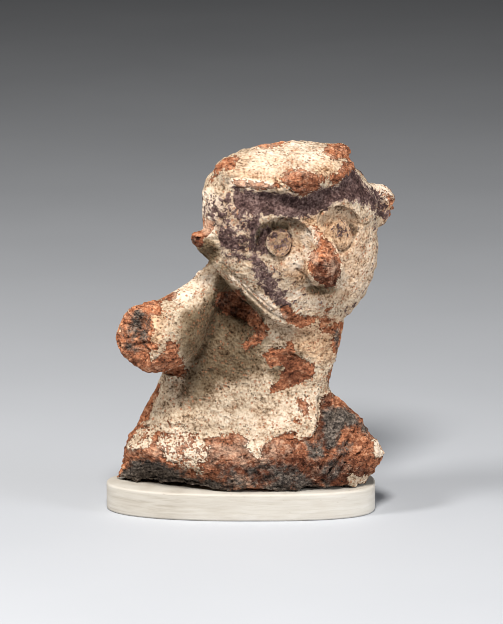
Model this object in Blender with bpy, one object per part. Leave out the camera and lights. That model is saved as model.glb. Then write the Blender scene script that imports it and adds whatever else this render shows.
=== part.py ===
"""Broken terracotta human figurine, fired in one piece, resting on a low painted display base.

The figure's own numbers are millimetres on a figurine of the true height, and mm() scales them with
FIGURE_HEIGHT. +X is the viewer's right, -Y the front, +Z up, and the origin is the centre of the
base's underside.
"""

import math

import bmesh
import bpy
import numpy as np
from mathutils import Matrix, Vector

# Driving dimensions, in metres.
FIGURE_HEIGHT = 0.1245
BASE_THICKNESS = 0.0100
BASE_MARGIN_LEFT = 0.0028
BASE_MARGIN_RIGHT = 0.0023
BASE_MARGIN_FRONT = 0.0018
BASE_MARGIN_BACK = 0.0045
BASE_EDGE_ROUND = 0.0005
SEAT_GAP = 0.0003

# The base's corners, from rounded (2) towards square, and the number of its sides.
BASE_POWER_LEFT = 2.2
BASE_POWER_RIGHT = 2.9
BASE_SIDES = 72

FIGURE_TRIANGLES = 8600

# The height that the figure's millimetres below are drawn for.
DRAWN_HEIGHT = 124.5
SCALE = FIGURE_HEIGHT / DRAWN_HEIGHT
SEAT = BASE_THICKNESS + SEAT_GAP
VOXEL = 0.9 * SCALE
SOFTENING_PASSES = 6
SOFTENING = 0.5
SIDES = 48
STEPS_BETWEEN_SECTIONS = 4
LUMP_SEGMENTS = 32
LUMP_RINGS = 20

# Torso sections, bottom to neck: height, left, right, front, back.
TORSO = [
    (-2.0, -46.0, 44.4, -13.4, 14.0),
    (0.5, -45.4, 45.8, -13.8, 14.5),
    (3.0, -44.4, 47.2, -15.2, 15.2),
    (5.5, -43.2, 48.8, -16.4, 15.5),
    (8.5, -42.4, 50.4, -17.0, 15.5),
    (11.5, -41.8, 51.0, -17.2, 15.5),
    (15.5, -41.6, 49.6, -16.6, 15.0),
    (18.0, -39.4, 46.8, -15.2, 14.5),
    (21.0, -37.2, 44.6, -13.6, 14.5),
    (25.5, -35.4, 41.0, -11.8, 14.0),
    (30.0, -33.0, 35.4, -10.0, 13.5),
    (34.0, -30.8, 31.8, -9.0, 13.0),
    (40.0, -28.5, 32.8, -8.0, 12.5),
    (48.0, -22.0, 35.2, -7.5, 12.5),
    (56.0, -16.0, 36.6, -7.5, 12.5),
    (62.0, -13.5, 35.8, -6.5, 12.0),
    (68.0, -12.0, 34.0, -5.0, 11.5),
    (78.0, -9.0, 31.0, -4.0, 10.5),
    (84.0, -4.0, 28.0, -3.0, 9.0),
    (91.0, 4.0, 22.0, -2.0, 4.0),
]
TORSO_POWER = 2.4

# Where the broken underside is cut back under the front: x, the height it starts from, how far back.
UNDERCUT = [
    (-46.0, 14.0, 6.0),
    (-42.0, 14.0, 7.0),
    (-33.0, 13.0, 8.0),
    (-22.0, 9.5, 5.0),
    (-11.0, 5.0, 1.5),
    (-5.0, 2.5, 0.0),
    (51.0, 2.5, 0.0),
]

# Dents in the torso's front: x, height, half width, half height, depth.
DENTS = [
    (0.5, 66.0, 8.5, 8.0, 4.0),
    (-19.0, 52.0, 6.0, 5.0, 2.2),
    (-21.5, 33.0, 3.6, 12.0, 1.4),
    (31.5, 20.0, 5.5, 17.0, 2.2),
    (-3.0, 7.0, 9.0, 5.0, 1.3),
    (19.0, 6.0, 9.0, 5.0, 1.2),
]

# Where the torso's front is carved, each from untouched to full: y, and how the raised arm is left out.
TORSO_CARVED_FRONT = (4.0, -3.0)
BELOW_ARM = (44.0, 40.0)
BEHIND_ARM = (-14.0, -11.0)
UNDERCUT_LIMIT = 1.2

# The raised arm, broken end to shoulder: centre x, y, height, radius.
ARM = [
    (-38.0, -19.0, 56.4, 6.5),
    (-37.5, -18.4, 56.4, 9.4),
    (-35.8, -17.3, 56.6, 11.5),
    (-33.0, -16.0, 56.9, 12.5),
    (-28.2, -13.5, 57.2, 13.0),
    (-23.0, -11.0, 60.2, 12.3),
    (-19.2, -9.5, 64.4, 9.9),
    (-15.4, -8.0, 68.4, 7.9),
    (-10.8, -5.0, 73.2, 5.8),
    (-5.0, 0.0, 78.9, 6.5),
]

# Clay that fills the crease between arm and torso: x, y, height, their three radii, turn about +Z.
ARM_WEB = (-13.5, -3.0, 60.0, 8.0, 4.6, 14.0, 0.0)

# The head's own frame: its origin is between the eyes, on the front of the face.
FACE_ORIGIN = (24.3, -19.0, 93.0)
HEAD_YAW = math.radians(27.0)
HEAD_PITCH = math.radians(10.0)

# Head sections, chin to crown: height above the eyes, left, right, front, back.
HEAD = [
    (-37.8, 4.0, 10.0, -6.0, -10.0),
    (-36.8, -1.0, 15.0, -3.6, -12.5),
    (-34.0, -8.0, 20.8, -1.8, -14.5),
    (-31.0, -13.0, 24.6, -1.2, -16.0),
    (-27.0, -17.4, 28.0, -0.8, -18.0),
    (-22.0, -22.4, 31.2, -0.5, -20.0),
    (-16.0, -27.2, 33.2, -0.2, -22.5),
    (-9.0, -31.0, 33.8, 0.0, -27.0),
    (0.0, -32.2, 33.4, 0.2, -31.5),
    (7.0, -32.5, 32.2, 0.2, -33.5),
    (12.0, -32.0, 30.0, -0.8, -34.5),
    (16.0, -30.6, 27.0, -3.0, -34.0),
    (20.0, -27.0, 22.5, -3.8, -32.0),
    (24.0, -22.0, 17.0, -6.0, -28.0),
]
HEAD_POWER = 2.7

# The cap's sections, in the head's frame: height above the eyes, left, right, front, back.
CAP = [
    (15.6, -26.5, 18.0, -4.0, -32.0),
    (17.5, -29.2, 22.0, -0.6, -34.0),
    (20.5, -29.4, 22.6, 0.2, -34.0),
    (23.5, -26.8, 21.5, -1.5, -31.5),
    (25.6, -21.0, 18.5, -6.0, -27.5),
    (27.0, -15.0, 14.5, -10.0, -26.0),
    (27.6, -8.0, 9.0, -13.0, -23.0),
]
CAP_POWER = 2.2

# Lumps of clay in the head's frame: across, up, out, their three radii, turn about the outward axis.
LUMPS = {
    "nose_bulb": (5.0, -9.8, 2.8, 6.9, 8.6, 8.4, 8.0),
    "nose_middle": (3.4, -3.0, 1.0, 4.6, 7.5, 5.6, 12.0),
    "nose_bridge": (2.0, 2.6, -0.8, 2.8, 7.0, 4.4, 14.0),
    "right_ear": (32.2, 2.4, -16.0, 10.0, 9.4, 4.6, 0.0),
    "cap_knob_right": (17.6, 22.8, -17.0, 5.2, 5.0, 6.0, 0.0),
    "cap_knob_left": (-24.5, 21.2, -13.0, 4.4, 3.8, 5.0, 0.0),
    "cap_scar_front": (-5.5, 20.6, -0.8, 9.0, 5.0, 3.2, 0.0),
}

# The pointed left ear, a flap that tapers away from the head: root, tip and the root's radii.
LEFT_EAR_ROOT = (-27.0, -4.6, -14.0)
LEFT_EAR_TIP = (-38.2, -1.8, -17.0)
LEFT_EAR_RADII = (9.4, 6.5)
LEFT_EAR_TIP_SHARE = 0.2
LEFT_EAR_STEPS = 4

# Eye pellets and the sockets they sit in: across, up, radii.
EYES = {"left": (-12.6, -0.6, 5.5), "right": (10.2, 0.3, 5.2)}
PELLET_RISE = 1.4
SOCKETS = {"left": (-10.6, -1.0, 10.4, 8.8), "right": (10.4, 0.6, 8.8, 9.4)}
SOCKET_DEPTH = 2.0
EDGE = 0.9

# Where the face is carved, each from untouched to full: out along the face, and beside the nose's ridge.
FACE_CARVED_OUT = (-7.0, -3.0)
SOCKET_FADES_UP = (-14.0, 2.0)
NOSE_RIDGE_ACROSS = 0.8
NOSE_RIDGE_CLEAR = (2.5, 5.5)

# Hollows inside the ears, in the head's frame: across, up, radii, depth.
EAR_HOLLOWS = {"left": (-31.5, -8.0, 4.5, 5.0, 1.8), "right": (34.5, 1.5, 6.0, 7.0, 2.2)}
EAR_CARVED_OUT = (-17.0, -13.0)
EAR_CARVED_FRONT = (0.0, -4.0)
EAR_HOLLOW_FLOOR = 0.4


def mm(value):
    """A figure length in metres."""
    return value * SCALE


def figure_point(x, y, height):
    """A point of the figure in the object's frame, with height counted from the seat."""
    return Vector((mm(x), mm(y), SEAT + mm(height)))


def head_frame():
    """Matrix from (across, up, out) in the head to the object's frame."""
    out = Vector((
        math.sin(HEAD_YAW) * math.cos(HEAD_PITCH),
        -math.cos(HEAD_YAW) * math.cos(HEAD_PITCH),
        -math.sin(HEAD_PITCH),
    ))
    across = Vector((math.cos(HEAD_YAW), math.sin(HEAD_YAW), 0.0))
    up = out.cross(across)
    frame = Matrix((across, up, out)).transposed().to_4x4()
    frame.translation = figure_point(*FACE_ORIGIN)
    return frame


def smoothstep(edge0, edge1, value):
    t = np.clip((value - edge0) / (edge1 - edge0), 0.0, 1.0)
    return t * t * (3.0 - 2.0 * t)


def eased(rows):
    """The rows with more between each two, on a smooth curve through them all."""
    table = np.array(rows)
    before = np.vstack((table[:1], table[:-1]))
    after = np.vstack((table[1:], table[-1:]))
    slope = (after - before) / 2.0
    made = []
    for i in range(len(table) - 1):
        for step in range(STEPS_BETWEEN_SECTIONS):
            t = step / STEPS_BETWEEN_SECTIONS
            made.append(
                (2 * t**3 - 3 * t**2 + 1) * table[i]
                + (t**3 - 2 * t**2 + t) * slope[i]
                + (3 * t**2 - 2 * t**3) * table[i + 1]
                + (t**3 - t**2) * slope[i + 1]
            )
    made.append(table[-1])
    return [tuple(row) for row in made]


def skin(bm, rings):
    """Closed surface through a stack of point rings, with a cap at each end."""
    stack = [[bm.verts.new(point) for point in ring] for ring in rings]
    for lower, upper in zip(stack, stack[1:]):
        for i in range(len(lower)):
            j = (i + 1) % len(lower)
            bm.faces.new((lower[i], lower[j], upper[j], upper[i]))
    bm.faces.new(list(reversed(stack[0])))
    bm.faces.new(stack[-1])


def superellipse(power):
    """Unit ring of SIDES points, rounder than a box and squarer than an ellipse for powers over 2."""
    for i in range(SIDES):
        angle = 2.0 * math.pi * i / SIDES
        c, s = math.cos(angle), math.sin(angle)
        yield (
            math.copysign(abs(c) ** (2.0 / power), c),
            math.copysign(abs(s) ** (2.0 / power), s),
        )


def torso(bm):
    rings = []
    for height, left, right, front, back in eased(TORSO):
        middle_x, half_x = (left + right) / 2.0, (right - left) / 2.0
        middle_y, half_y = (front + back) / 2.0, (back - front) / 2.0
        rings.append([
            figure_point(middle_x + half_x * c, middle_y + half_y * s, height)
            for c, s in superellipse(TORSO_POWER)
        ])
    skin(bm, rings)


def arm(bm):
    stations = eased(ARM)
    centres = [figure_point(x, y, height) for x, y, height, _ in stations]
    rings = []
    for i, centre in enumerate(centres):
        along = (centres[min(i + 1, len(centres) - 1)] - centres[max(i - 1, 0)]).normalized()
        side = along.cross(Vector((0.0, 0.0, 1.0))).normalized()
        top = side.cross(along)
        radius = mm(stations[i][3])
        rings.append([
            centre + side * (radius * c) + top * (radius * s) for c, s in superellipse(2.0)
        ])
    skin(bm, rings)


def head_stack(bm, frame, sections, power):
    """Stack of sections across the head; each is height, left, right, front, back."""
    rings = []
    for height, left, right, front, back in eased(sections):
        middle_across, half_width = (left + right) / 2.0, (right - left) / 2.0
        middle_out, half_depth = (front + back) / 2.0, (front - back) / 2.0
        rings.append([
            frame @ Vector((
                mm(middle_across + half_width * c),
                mm(height),
                mm(middle_out - half_depth * s),
            ))
            for c, s in superellipse(power)
        ])
    skin(bm, rings)


def lump(bm, frame, *values):
    """Ellipsoid: its centre and radii along the frame's axes, and its turn about the third."""
    *centre_and_radii, turn = values
    place = (
        frame
        @ Matrix.Translation([mm(value) for value in centre_and_radii[:3]])
        @ Matrix.Rotation(math.radians(turn), 4, "Z")
        @ Matrix.Diagonal([mm(value) for value in centre_and_radii[3:]] + [1.0])
    )
    bmesh.ops.create_uvsphere(
        bm, u_segments=LUMP_SEGMENTS, v_segments=LUMP_RINGS, radius=1.0, matrix=place
    )


def left_ear(bm, frame):
    root, tip = Vector(LEFT_EAR_ROOT), Vector(LEFT_EAR_TIP)
    along = (tip - root).normalized()
    deep = along.cross(Vector((0.0, 1.0, 0.0))).normalized()
    tall = deep.cross(along)
    rings = []
    for step in range(LEFT_EAR_STEPS + 1):
        share = step / LEFT_EAR_STEPS
        size = 1.0 + (LEFT_EAR_TIP_SHARE - 1.0) * share
        centre = root.lerp(tip, share)
        rings.append([
            frame @ ((
                centre
                + tall * (LEFT_EAR_RADII[0] * size * c)
                + deep * (LEFT_EAR_RADII[1] * size * s)
            ) * SCALE)
            for c, s in superellipse(2.0)
        ])
    skin(bm, rings)


def rough_forms():
    """All the figure's masses in one mesh, still overlapping."""
    frame = head_frame()
    bm = bmesh.new()
    torso(bm)
    arm(bm)
    lump(bm, Matrix.Translation((0.0, 0.0, SEAT)), *ARM_WEB)
    head_stack(bm, frame, HEAD, HEAD_POWER)
    head_stack(bm, frame, CAP, CAP_POWER)
    for values in LUMPS.values():
        lump(bm, frame, *values)
    left_ear(bm, frame)
    bmesh.ops.recalc_face_normals(bm, faces=bm.faces)
    mesh = bpy.data.meshes.new("figurine_forms")
    bm.to_mesh(mesh)
    bm.free()
    return mesh


def evaluated(mesh, add_modifiers):
    """A new mesh: this one with modifiers applied."""
    holder = bpy.data.objects.new("holder", mesh)
    bpy.context.scene.collection.objects.link(holder)
    add_modifiers(holder)
    graph = bpy.context.evaluated_depsgraph_get()
    made = bpy.data.meshes.new_from_object(holder.evaluated_get(graph))
    bpy.data.objects.remove(holder)
    return made


def merge_clay(holder):
    """Joins the overlapping masses into one skin and softens the joins."""
    remesh = holder.modifiers.new("one_skin", "REMESH")
    remesh.mode = "VOXEL"
    remesh.voxel_size = VOXEL
    soften = holder.modifiers.new("soft_joins", "SMOOTH")
    soften.factor = SOFTENING
    soften.iterations = SOFTENING_PASSES


def coordinates(mesh):
    values = np.empty(len(mesh.vertices) * 3)
    mesh.vertices.foreach_get("co", values)
    return values.reshape(-1, 3)


def to_head(points):
    """Points in the head's frame, in figure millimetres: across, up, out."""
    inverse = np.array(head_frame().inverted())
    return (points @ inverse[:3, :3].T + inverse[:3, 3]) / SCALE


def ellipse_reach(x, y, values):
    """Distance from an ellipse's middle, 1 on its edge."""
    middle_x, middle_y, half_x, half_y = values
    return np.hypot((x - middle_x) / half_x, (y - middle_y) / half_y)


def carve_head(points):
    """Sockets, eye pellets and ear hollows, pushed along the way the face looks."""
    across, up, out = to_head(points).T
    facing = smoothstep(*FACE_CARVED_OUT, out)
    push = np.zeros(len(points))
    for values in SOCKETS.values():
        reach = ellipse_reach(across, up, values)
        inside = smoothstep(1.0, 1.0 - EDGE / values[3], reach)
        fade = smoothstep(*SOCKET_FADES_UP, up - values[1])
        nose = smoothstep(*NOSE_RIDGE_CLEAR, np.abs(across - NOSE_RIDGE_ACROSS))
        push -= SOCKET_DEPTH * inside * fade * nose * facing
    for middle_across, middle_up, radius in EYES.values():
        reach = np.hypot(across - middle_across, up - middle_up)
        push += PELLET_RISE * smoothstep(radius, radius - EDGE, reach) * facing
    beside = smoothstep(*EAR_CARVED_OUT, out) * smoothstep(*EAR_CARVED_FRONT, out)
    for *values, depth in EAR_HOLLOWS.values():
        reach = ellipse_reach(across, up, values)
        push -= depth * smoothstep(1.0, EAR_HOLLOW_FLOOR, reach) * beside
    return np.array(head_frame())[:3, 2] * push[:, None]


def carve_torso(points):
    """Dents in the front and the cut-back underside, pushed towards the back."""
    x, y, height = ((points - (0.0, 0.0, SEAT)) / SCALE).T
    front = smoothstep(*TORSO_CARVED_FRONT, y)
    clear_of_arm = np.maximum(smoothstep(*BELOW_ARM, height), smoothstep(*BEHIND_ARM, y))
    push = np.zeros(len(points))
    for *values, depth in DENTS:
        push += depth * smoothstep(1.0, 0.0, ellipse_reach(x, height, values)) * front * clear_of_arm
    places, starts, depths = np.array(UNDERCUT).T
    start = np.interp(x, places, starts)
    cut_back = np.clip(1.0 - height / start, 0.0, UNDERCUT_LIMIT)
    push += np.interp(x, places, depths) * cut_back * front
    return np.array((0.0, 1.0, 0.0)) * push[:, None]


def carve(mesh):
    points = coordinates(mesh)
    points = points + (carve_head(points) + carve_torso(points)) * SCALE
    mesh.vertices.foreach_set("co", points.ravel())
    mesh.update()


def thin_out(holder):
    count = sum(len(face.vertices) - 2 for face in holder.data.polygons)
    fewer = holder.modifiers.new("fewer_faces", "DECIMATE")
    fewer.ratio = FIGURE_TRIANGLES / count


def shell_of(start):
    """All the vertices that edges join to this one."""
    found = {start}
    waiting = [start]
    while waiting:
        vertex = waiting.pop()
        for edge in vertex.link_edges:
            other = edge.other_vert(vertex)
            if other not in found:
                found.add(other)
                waiting.append(other)
    return found


def empty_pockets(bm):
    """Closes the tiny pockets that merging can leave inside the clay."""
    left = set(bm.verts)
    shells = []
    while left:
        shells.append(shell_of(next(iter(left))))
        left -= shells[-1]
    skin_shell = max(shells, key=len)
    pockets = [vertex for vertex in bm.verts if vertex not in skin_shell]
    bmesh.ops.delete(bm, geom=pockets, context="VERTS")


def cut_flat_foot(mesh):
    """Cuts the figure off level just above the base, so that it has a flat foot."""
    bm = bmesh.new()
    bm.from_mesh(mesh)
    empty_pockets(bm)
    cut = bmesh.ops.bisect_plane(
        bm,
        geom=bm.verts[:] + bm.edges[:] + bm.faces[:],
        plane_co=(0.0, 0.0, SEAT),
        plane_no=(0.0, 0.0, 1.0),
        clear_inner=True,
    )
    rim = [item for item in cut["geom_cut"] if isinstance(item, bmesh.types.BMEdge)]
    bmesh.ops.contextual_create(bm, geom=rim)
    bmesh.ops.recalc_face_normals(bm, faces=bm.faces)
    bm.to_mesh(mesh)
    bm.free()


def principled(name, colour, roughness):
    material = bpy.data.materials.new(name)
    material.use_nodes = True
    shader = material.node_tree.nodes["Principled BSDF"]
    shader.inputs["Base Color"].default_value = (*colour, 1.0)
    shader.inputs["Roughness"].default_value = roughness
    shader.inputs["Metallic"].default_value = 0.0
    return material


def figurine():
    skin_mesh = evaluated(rough_forms(), merge_clay)
    carve(skin_mesh)
    mesh = evaluated(skin_mesh, thin_out)
    cut_flat_foot(mesh)
    mesh.name = "figurine"
    obj = bpy.data.objects.new("figurine", mesh)
    bpy.context.scene.collection.objects.link(obj)
    obj.data.materials.append(principled("slipped_terracotta", (0.62, 0.50, 0.38), 0.9))
    return obj


def base_outline():
    """The base's plan: rounder at its left end than at its right, with a bowed front."""
    _, foot_left, foot_right, foot_front, foot_back = TORSO[1]
    left = mm(foot_left) - BASE_MARGIN_LEFT
    right = mm(foot_right) + BASE_MARGIN_RIGHT
    front = mm(foot_front) - BASE_MARGIN_FRONT
    back = mm(foot_back) + BASE_MARGIN_BACK
    middle_x, middle_y = (left + right) / 2.0, (front + back) / 2.0
    for i in range(BASE_SIDES):
        angle = 2.0 * math.pi * i / BASE_SIDES
        c, s = math.cos(angle), math.sin(angle)
        power = BASE_POWER_LEFT if c < 0.0 else BASE_POWER_RIGHT
        yield (
            middle_x + (right - left) / 2.0 * math.copysign(abs(c) ** (2.0 / power), c),
            middle_y + (back - front) / 2.0 * math.copysign(abs(s) ** (2.0 / power), s),
        )


def display_base():
    """Low slab with softened top and bottom edges, cut to follow the figure's foot."""
    outline = list(base_outline())
    width = max(x for x, _ in outline) - min(x for x, _ in outline)
    rings = []
    for height, inset in (
        (0.0, BASE_EDGE_ROUND),
        (BASE_EDGE_ROUND, 0.0),
        (BASE_THICKNESS - BASE_EDGE_ROUND, 0.0),
        (BASE_THICKNESS, BASE_EDGE_ROUND),
    ):
        share = 1.0 - 2.0 * inset / width
        rings.append([Vector((x * share, y * share, height)) for x, y in outline])
    bm = bmesh.new()
    skin(bm, rings)
    bmesh.ops.recalc_face_normals(bm, faces=bm.faces)
    mesh = bpy.data.meshes.new("display_base")
    bm.to_mesh(mesh)
    bm.free()
    obj = bpy.data.objects.new("display_base", mesh)
    bpy.context.scene.collection.objects.link(obj)
    obj.data.materials.append(principled("painted_board", (0.80, 0.76, 0.68), 0.6))
    return obj


def main():
    for obj in list(bpy.data.objects):
        bpy.data.objects.remove(obj)
    display_base()
    figurine()


main()
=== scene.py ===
"""Looks for the broken terracotta figurine on its low painted base.

Lengths in the tables are millimetres, and pixels are those of the photograph, 503 by 624, with v down.
"""

import itertools
import math

import bmesh
import bpy
import numpy as np
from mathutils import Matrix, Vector
from mathutils.bvhtree import BVHTree
from mathutils.kdtree import KDTree


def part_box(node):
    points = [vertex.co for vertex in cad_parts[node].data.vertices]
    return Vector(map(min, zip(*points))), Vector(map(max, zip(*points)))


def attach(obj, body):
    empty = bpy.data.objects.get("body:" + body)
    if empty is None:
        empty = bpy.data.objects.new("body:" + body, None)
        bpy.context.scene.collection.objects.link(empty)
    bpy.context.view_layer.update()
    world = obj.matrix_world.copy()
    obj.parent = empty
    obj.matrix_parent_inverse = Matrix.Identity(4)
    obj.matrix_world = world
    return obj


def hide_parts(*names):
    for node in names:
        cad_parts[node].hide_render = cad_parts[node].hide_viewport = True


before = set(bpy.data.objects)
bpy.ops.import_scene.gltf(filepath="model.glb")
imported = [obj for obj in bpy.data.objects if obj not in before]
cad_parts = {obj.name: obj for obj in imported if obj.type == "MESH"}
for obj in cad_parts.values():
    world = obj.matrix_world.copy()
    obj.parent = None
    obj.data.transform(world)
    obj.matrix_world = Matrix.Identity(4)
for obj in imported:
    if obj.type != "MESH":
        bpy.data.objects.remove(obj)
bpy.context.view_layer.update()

MM = 0.001

# The photograph's camera, in metres and radians, and the pixel where the middle of the base's underside lies.
IMAGE_WIDTH = 503
IMAGE_HEIGHT = 624
PIXEL = 0.000358
CAMERA_DISTANCE = 1.2
CAMERA_ELEVATION = math.radians(14.0)
MM_PER_PIXEL = PIXEL / MM
SENSOR = 36.0
ORIGIN_U = 241.0
ORIGIN_V = 508.7

VIEW_RIGHT = np.array((1.0, 0.0, 0.0))
VIEW_UP = np.array((0.0, math.sin(CAMERA_ELEVATION), math.cos(CAMERA_ELEVATION)))
VIEW_BACK = np.array((0.0, -math.cos(CAMERA_ELEVATION), math.sin(CAMERA_ELEVATION)))
TARGET = (
    VIEW_RIGHT * (IMAGE_WIDTH / 2.0 - ORIGIN_U) * PIXEL
    + VIEW_UP * (ORIGIN_V - IMAGE_HEIGHT / 2.0) * PIXEL
)
CAMERA = TARGET + VIEW_BACK * CAMERA_DISTANCE

# The figure's fine skin: how it is remeshed, kept inside the CAD box and set on the base, in metres.
FINE_VOXEL = 0.00042
FINE_SOFTENING_PASSES = 16
FINE_TRIANGLES = 190000
BOX_INSET = 0.00001
FOOT_TUCK = 0.0006
FOOT_TUCK_HEIGHT = 0.0012
FOOT_OVERSHOOT = 0.001
SEAT_CLEARANCE = 0.00002

# Patches where the slip is gone and fired clay shows, as outlines in the photograph.
BARE = {
    "cap_knob_left": [(211, 181), (213, 170), (217, 161), (226, 157), (235, 155), (240, 160), (237, 169),
        (222, 170), (217, 176)],
    "cap_rim": [(232, 180), (250, 181), (262, 182), (272, 185), (277, 182), (280, 186), (270, 190),
        (255, 189), (240, 188), (234, 185)],
    "cap_back": [(250, 145), (270, 140), (290, 137), (290, 141), (279, 146), (270, 149), (262, 148)],
    "cap_scar": [(279, 179), (286, 172), (293, 168), (299, 167), (304, 170), (313, 172), (322, 176),
        (323, 181), (320, 186), (318, 190), (308, 194), (302, 197), (296, 195), (291, 190), (285, 185)],
    "cap_rim_right": [(323, 178), (335, 173), (341, 167), (343, 162), (350, 162), (356, 168), (349, 173),
        (342, 178), (338, 184), (330, 186), (324, 184)],
    "cap_knob_right": [(323, 150), (327, 144), (333, 140), (342, 138), (350, 143), (355, 152), (355, 166),
        (349, 163), (344, 159), (338, 160), (330, 160), (327, 157)],
    "ear_right_rim": [(384, 190), (392, 196), (398, 206), (398, 216), (391, 226), (386, 226), (390, 216),
        (391, 207), (388, 200), (382, 194)],
    "ear_left_top": [(184, 242), (186, 230), (203, 216), (214, 222), (213, 231), (206, 238), (202, 246),
        (190, 248)],
    "nose": [(310, 226), (314, 223), (318, 228), (323, 237), (330, 243), (335, 250), (339, 256), (341, 265),
        (339, 278), (334, 286), (326, 287), (318, 282), (311, 274), (307, 267), (308, 260), (312, 253),
        (316, 247), (318, 240), (314, 232)],
    "chin": [(279, 308), (288, 305), (292, 311), (300, 315), (312, 317), (318, 316), (316, 322), (308, 327),
        (300, 328), (292, 324), (285, 320), (281, 315)],
    "chin_speck": [(325, 309), (332, 307), (331, 311), (325, 312)],
    "chin_right": [(318, 319), (326, 316), (331, 320), (326, 326), (318, 327)],
    "arm_end": [(178, 292), (176, 299), (163, 300), (160, 305), (163, 315), (158, 317), (152, 316),
        (150, 320), (153, 325), (155, 332), (152, 341), (160, 343), (158, 349), (148, 352), (152, 360),
        (158, 358), (165, 350), (166, 342), (170, 340), (178, 345), (178, 356), (172, 366), (155, 376),
        (120, 372), (108, 340), (120, 305), (150, 292)],
    "arm_below": [(158, 358), (170, 348), (178, 352), (183, 362), (188, 372), (180, 377), (165, 374),
        (156, 372)],
    "hollow": [(217, 291), (240, 291), (248, 303), (258, 312), (262, 322), (268, 332), (266, 335),
        (255, 330), (240, 318), (222, 312), (214, 306)],
    "hollow_low": [(246, 308), (262, 318), (269, 330), (262, 331), (252, 322)],
    "chest_left": [(240, 345), (250, 338), (258, 330), (264, 330), (267, 335), (262, 342), (253, 346),
        (245, 350)],
    "chest_lens": [(263, 353), (275, 348), (285, 350), (292, 353), (300, 358), (308, 362), (316, 366),
        (315, 373), (308, 379), (302, 381), (292, 387), (284, 390), (272, 391), (271, 388), (278, 380),
        (281, 374), (283, 367), (275, 366), (270, 367), (266, 360)],
    "chest_over_lens": [(276, 345), (284, 348), (290, 340), (294, 346), (295, 352), (286, 352)],
    "neck_right": [(322, 331), (330, 325), (338, 322), (350, 318), (350, 345), (345, 356), (334, 352),
        (331, 347), (331, 340), (336, 335), (328, 332)],
    "side_right": [(326, 378), (330, 372), (335, 364), (341, 360), (341, 372), (334, 375), (328, 380)],
    "chest_low_right": [(300, 400), (306, 402), (309, 405), (308, 415), (304, 417), (301, 411), (299, 405)],
    "chest_low": [(290, 420), (296, 419), (300, 421), (298, 424), (292, 424)],
    "side_left": [(156, 380), (160, 384), (156, 398), (151, 408), (149, 420), (138, 424), (130, 424),
        (140, 405), (150, 385)],
    "lower_body": [(130, 424), (150, 424), (158, 422), (170, 421), (180, 425), (187, 426), (195, 430),
        (200, 436), (206, 440), (212, 438), (218, 436), (225, 437), (231, 433), (238, 434), (243, 438),
        (249, 440), (246, 444), (244, 447), (250, 449), (252, 455), (256, 458), (260, 457), (261, 450),
        (263, 447), (268, 444), (272, 440), (276, 436), (285, 433), (295, 431), (297, 433), (296, 437),
        (299, 440), (306, 438), (311, 436), (316, 430), (317, 425), (319, 418), (320, 410), (321, 400),
        (322, 397), (327, 393), (330, 390), (345, 384), (420, 384), (420, 520), (80, 520), (80, 424)],
}

# Islands of slip inside those patches: how solid they are, and their outlines.
ISLANDS = {
    "ledge": (0.3, [(125, 445), (133, 436), (140, 429), (150, 424), (153, 434), (152, 441), (147, 447),
        (135, 450), (126, 450)]),
    "ledge_link": (0.5, [(150, 422), (160, 420), (172, 421), (184, 424), (196, 428), (186, 433), (166, 434),
        (157, 432), (150, 433)]),
    "run": (0.2, [(158, 436), (167, 430), (175, 427), (190, 427), (199, 434), (202, 440), (210, 446),
        (206, 452), (208, 460), (203, 464), (203, 472), (196, 474), (190, 468), (184, 471), (176, 463),
        (167, 461), (163, 452), (157, 446)]),
    "run_bright": (1.0, [(184, 446), (192, 448), (199, 455), (198, 464), (191, 461), (185, 453)]),
    "tip_right": (3.0, [(374, 437), (390, 436), (391, 458), (376, 458), (373, 447)]),
    "foot_right": (1.6, [(348, 474), (358, 477), (372, 474), (376, 485), (362, 493), (348, 491)]),
    "knob_bump": (2.0, [(235, 161), (241, 159), (247, 164), (246, 170), (240, 171), (235, 169)]),
    "rim_fleck": (1.0, [(324, 178), (330, 180), (331, 187), (324, 187)]),
}

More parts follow.
